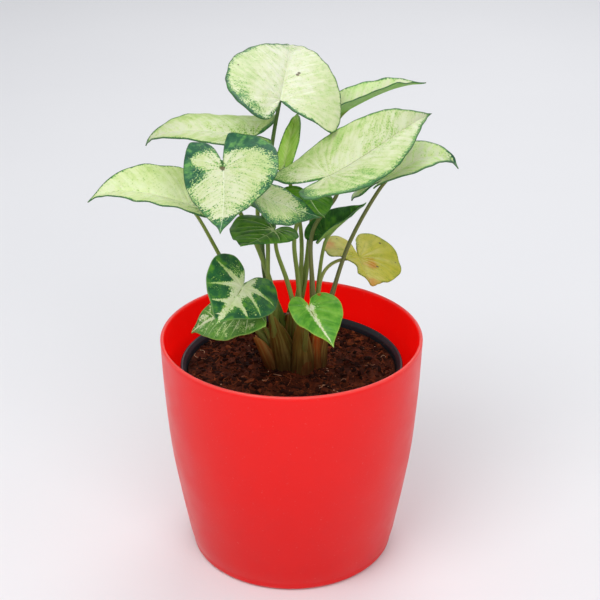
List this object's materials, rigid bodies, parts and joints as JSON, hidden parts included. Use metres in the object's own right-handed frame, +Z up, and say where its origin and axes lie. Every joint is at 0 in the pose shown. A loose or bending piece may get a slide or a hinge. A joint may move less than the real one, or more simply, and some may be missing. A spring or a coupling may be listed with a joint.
{
  "type": "potted plant",
  "caption": "Small variegated syngonium with heart-shaped marbled leaves, growing in potting mix in a black nursery pot inside a round red cover pot.",
  "frame": {"origin": "middle of the cover pot's flat underside", "axes": "+Z up, +X to the right and -Y towards the viewer of the large heart-shaped leaves"},
  "size_m": [0.1796, 0.1524, 0.249],
  "materials": {
    "cover_pot": "satin",
    "nursery_pot": "satin",
    "soil": "matte",
    "stalk": "satin",
    "pale_leaf": "satin",
    "marbled_leaf": "satin",
    "dark_leaf": "satin",
    "yellow_leaf": "satin"
  },
  "bodies": {
    "root": {"cover_pot": "cover_pot", "nursery_pot": "nursery_pot", "soil": "soil", "shoot_left": "stalk", "shoot_back": "stalk", "shoot_front": "stalk", "shoot_right": "stalk", "leaf_top": "pale_leaf", "leaf_back_left": "pale_leaf", "leaf_back_right": "pale_leaf", "leaf_new": "pale_leaf", "leaf_left": "pale_leaf", "leaf_right_pale": "pale_leaf", "leaf_right_back": "pale_leaf", "leaf_front_heart": "marbled_leaf", "leaf_middle_pale": "marbled_leaf", "leaf_low_heart": "marbled_leaf", "leaf_lowest_left": "marbled_leaf", "leaf_dark_low": "dark_leaf", "leaf_dark_middle": "dark_leaf", "leaf_front_low": "dark_leaf", "leaf_small_right": "dark_leaf", "leaf_yellow": "yellow_leaf"}
  },
  "joints": []
}
